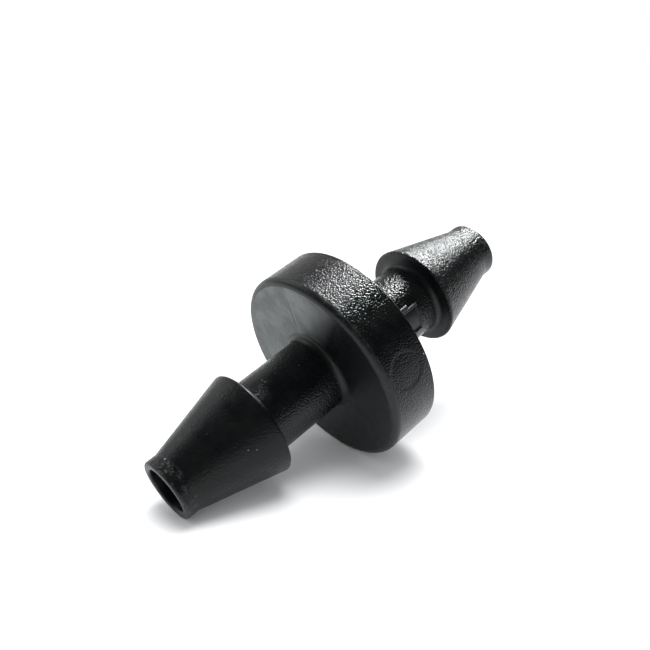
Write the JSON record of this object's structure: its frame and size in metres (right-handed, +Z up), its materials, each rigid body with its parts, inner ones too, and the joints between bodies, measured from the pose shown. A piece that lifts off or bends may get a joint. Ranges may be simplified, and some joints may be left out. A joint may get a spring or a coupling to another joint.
{
  "type": "inline drip emitter",
  "caption": "Inline drip emitter: a hollow barb at each end of one axis for micro tube, a round drum between them, and a labyrinth disc and diaphragm inside.",
  "frame": {"origin": "middle of the drum, on the common axis of the two barbs", "axes": "+X along the axis in the direction of flow, from the inlet barb to the outlet barb; +Z up"},
  "size_m": [0.027, 0.013, 0.013],
  "materials": {
    "black_body": "spark-eroded black moulding, satin",
    "grey_disc": "fine satin moulding",
    "silicone": "soft milky silicone"
  },
  "bodies": {
    "inlet": {"inlet_body": "black_body"},
    "outlet": {"outlet_body": "black_body", "labyrinth_disc": "grey_disc"},
    "diaphragm": {"diaphragm": "silicone"}
  },
  "joints": [
    {"name": "outlet_pull", "type": "slide", "parent": "inlet", "child": "outlet", "axis": [1, 0, 0], "range_m": [0, 0.008]},
    {"name": "diaphragm_float", "type": "slide", "parent": "inlet", "child": "diaphragm", "axis": [-1, 0, 0], "range_m": [0, 0.0002]}
  ]
}
